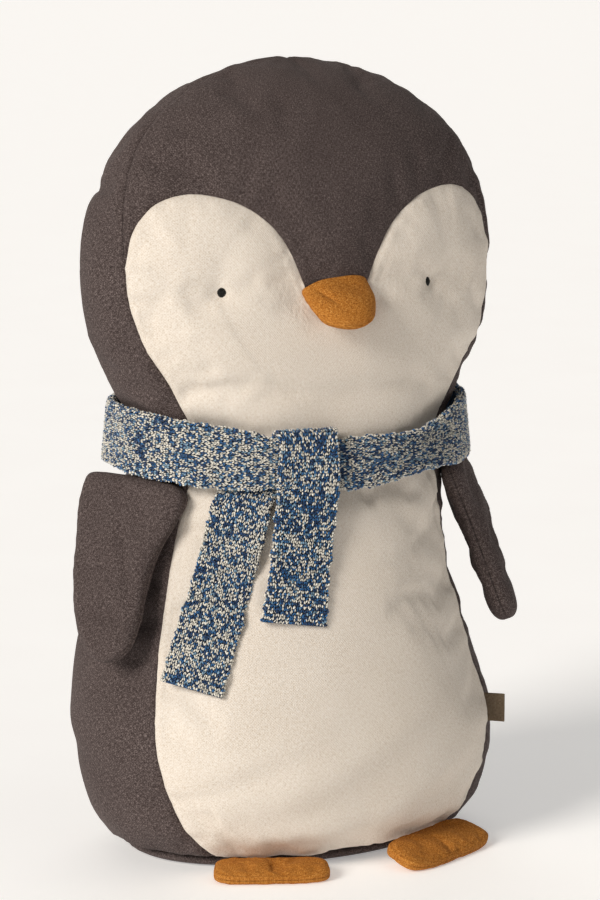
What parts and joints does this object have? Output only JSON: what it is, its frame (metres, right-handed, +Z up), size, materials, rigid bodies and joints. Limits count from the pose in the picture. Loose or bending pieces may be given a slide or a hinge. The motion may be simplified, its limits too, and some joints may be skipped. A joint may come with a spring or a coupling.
{
  "type": "plush penguin",
  "caption": "Tall stuffed cloth penguin that stands on a weighted oval base, with padded flap wings and feet, a cloth beak and a knitted scarf tied round its neck.",
  "frame": {"origin": "middle of the base panel's underside, on the surface the penguin stands on", "axes": "+Z up to the crown of the head, the face looks along -Y, the penguin's own left side is +X"},
  "size_m": [0.3298, 0.2495, 0.545],
  "materials": {
    "dark_linen": "charcoal slubbed linen",
    "natural_linen": "natural cream cotton linen",
    "mustard_linen": "mustard linen",
    "scarf_knit": "blue and cream marled stockinette knit",
    "eye_thread": "black embroidery cotton",
    "dark_thread": "charcoal sewing thread",
    "label_tape": "taupe woven tape",
    "stuffing": "polyester fibre filling",
    "bag_cotton": "calico",
    "pellets": "plastic pellets"
  },
  "bodies": {
    "body": {"front_panel": "natural_linen", "head_cap": "dark_linen", "back_panel_left": "dark_linen", "back_panel_right": "dark_linen", "base_panel": "dark_linen", "body_stuffing": "stuffing", "pellet_bag": "bag_cotton", "pellet_load": "pellets", "closing_stitches": "dark_thread", "beak_upper": "mustard_linen", "beak_under": "mustard_linen", "beak_stuffing": "stuffing", "eye_left": "eye_thread", "eye_right": "eye_thread", "eye_thread": "eye_thread", "scarf_band": "scarf_knit", "scarf_knot": "scarf_knit"},
    "wing_left": {"wing_left_outer": "dark_linen", "wing_left_inner": "dark_linen", "wing_left_stuffing": "stuffing"},
    "wing_right": {"wing_right_outer": "dark_linen", "wing_right_inner": "dark_linen", "wing_right_stuffing": "stuffing"},
    "foot_left": {"foot_left_upper": "mustard_linen", "foot_left_sole": "mustard_linen", "foot_left_wadding": "stuffing"},
    "foot_right": {"foot_right_upper": "mustard_linen", "foot_right_sole": "mustard_linen", "foot_right_wadding": "stuffing"},
    "front_tail": {"scarf_tail_front": "scarf_knit"},
    "back_tail": {"scarf_tail_back": "scarf_knit"},
    "label": {"side_label": "label_tape"}
  },
  "joints": [
    {"name": "wing_left_lift", "type": "hinge", "parent": "body", "child": "wing_left", "pos_m": [0.12, -0.0156, 0.2696], "axis": [-0.5, -0.866, 0], "range_deg": [0, 30]},
    {"name": "wing_right_lift", "type": "hinge", "parent": "body", "child": "wing_right", "pos_m": [-0.12, -0.0156, 0.2696], "axis": [-0.5, 0.866, 0], "range_deg": [0, 30]},
    {"name": "foot_left_lift", "type": "hinge", "parent": "body", "child": "foot_left", "pos_m": [0.062, -0.084, 0.01314], "axis": [-0.8988, -0.4384, 0], "range_deg": [0, 30]},
    {"name": "foot_right_lift", "type": "hinge", "parent": "body", "child": "foot_right", "pos_m": [-0.052, -0.0845, 0.00795], "axis": [-0.9272, 0.3746, 0], "range_deg": [0, 30]},
    {"name": "front_tail_swing", "type": "hinge", "parent": "body", "child": "front_tail", "pos_m": [-0.03, -0.0985, 0.2645], "axis": [-0.9762, 0.1669, 0.1386], "range_deg": [0, 95]},
    {"name": "back_tail_swing", "type": "hinge", "parent": "body", "child": "back_tail", "pos_m": [-0.069, -0.0795, 0.257], "axis": [-0.7984, 0.5533, 0.2375], "range_deg": [0, 60]},
    {"name": "label_fold", "type": "hinge", "parent": "body", "child": "label", "pos_m": [0.1277, -0.0647, 0.091], "axis": [0, 0, 1], "range_deg": [-50, 50]}
  ]
}
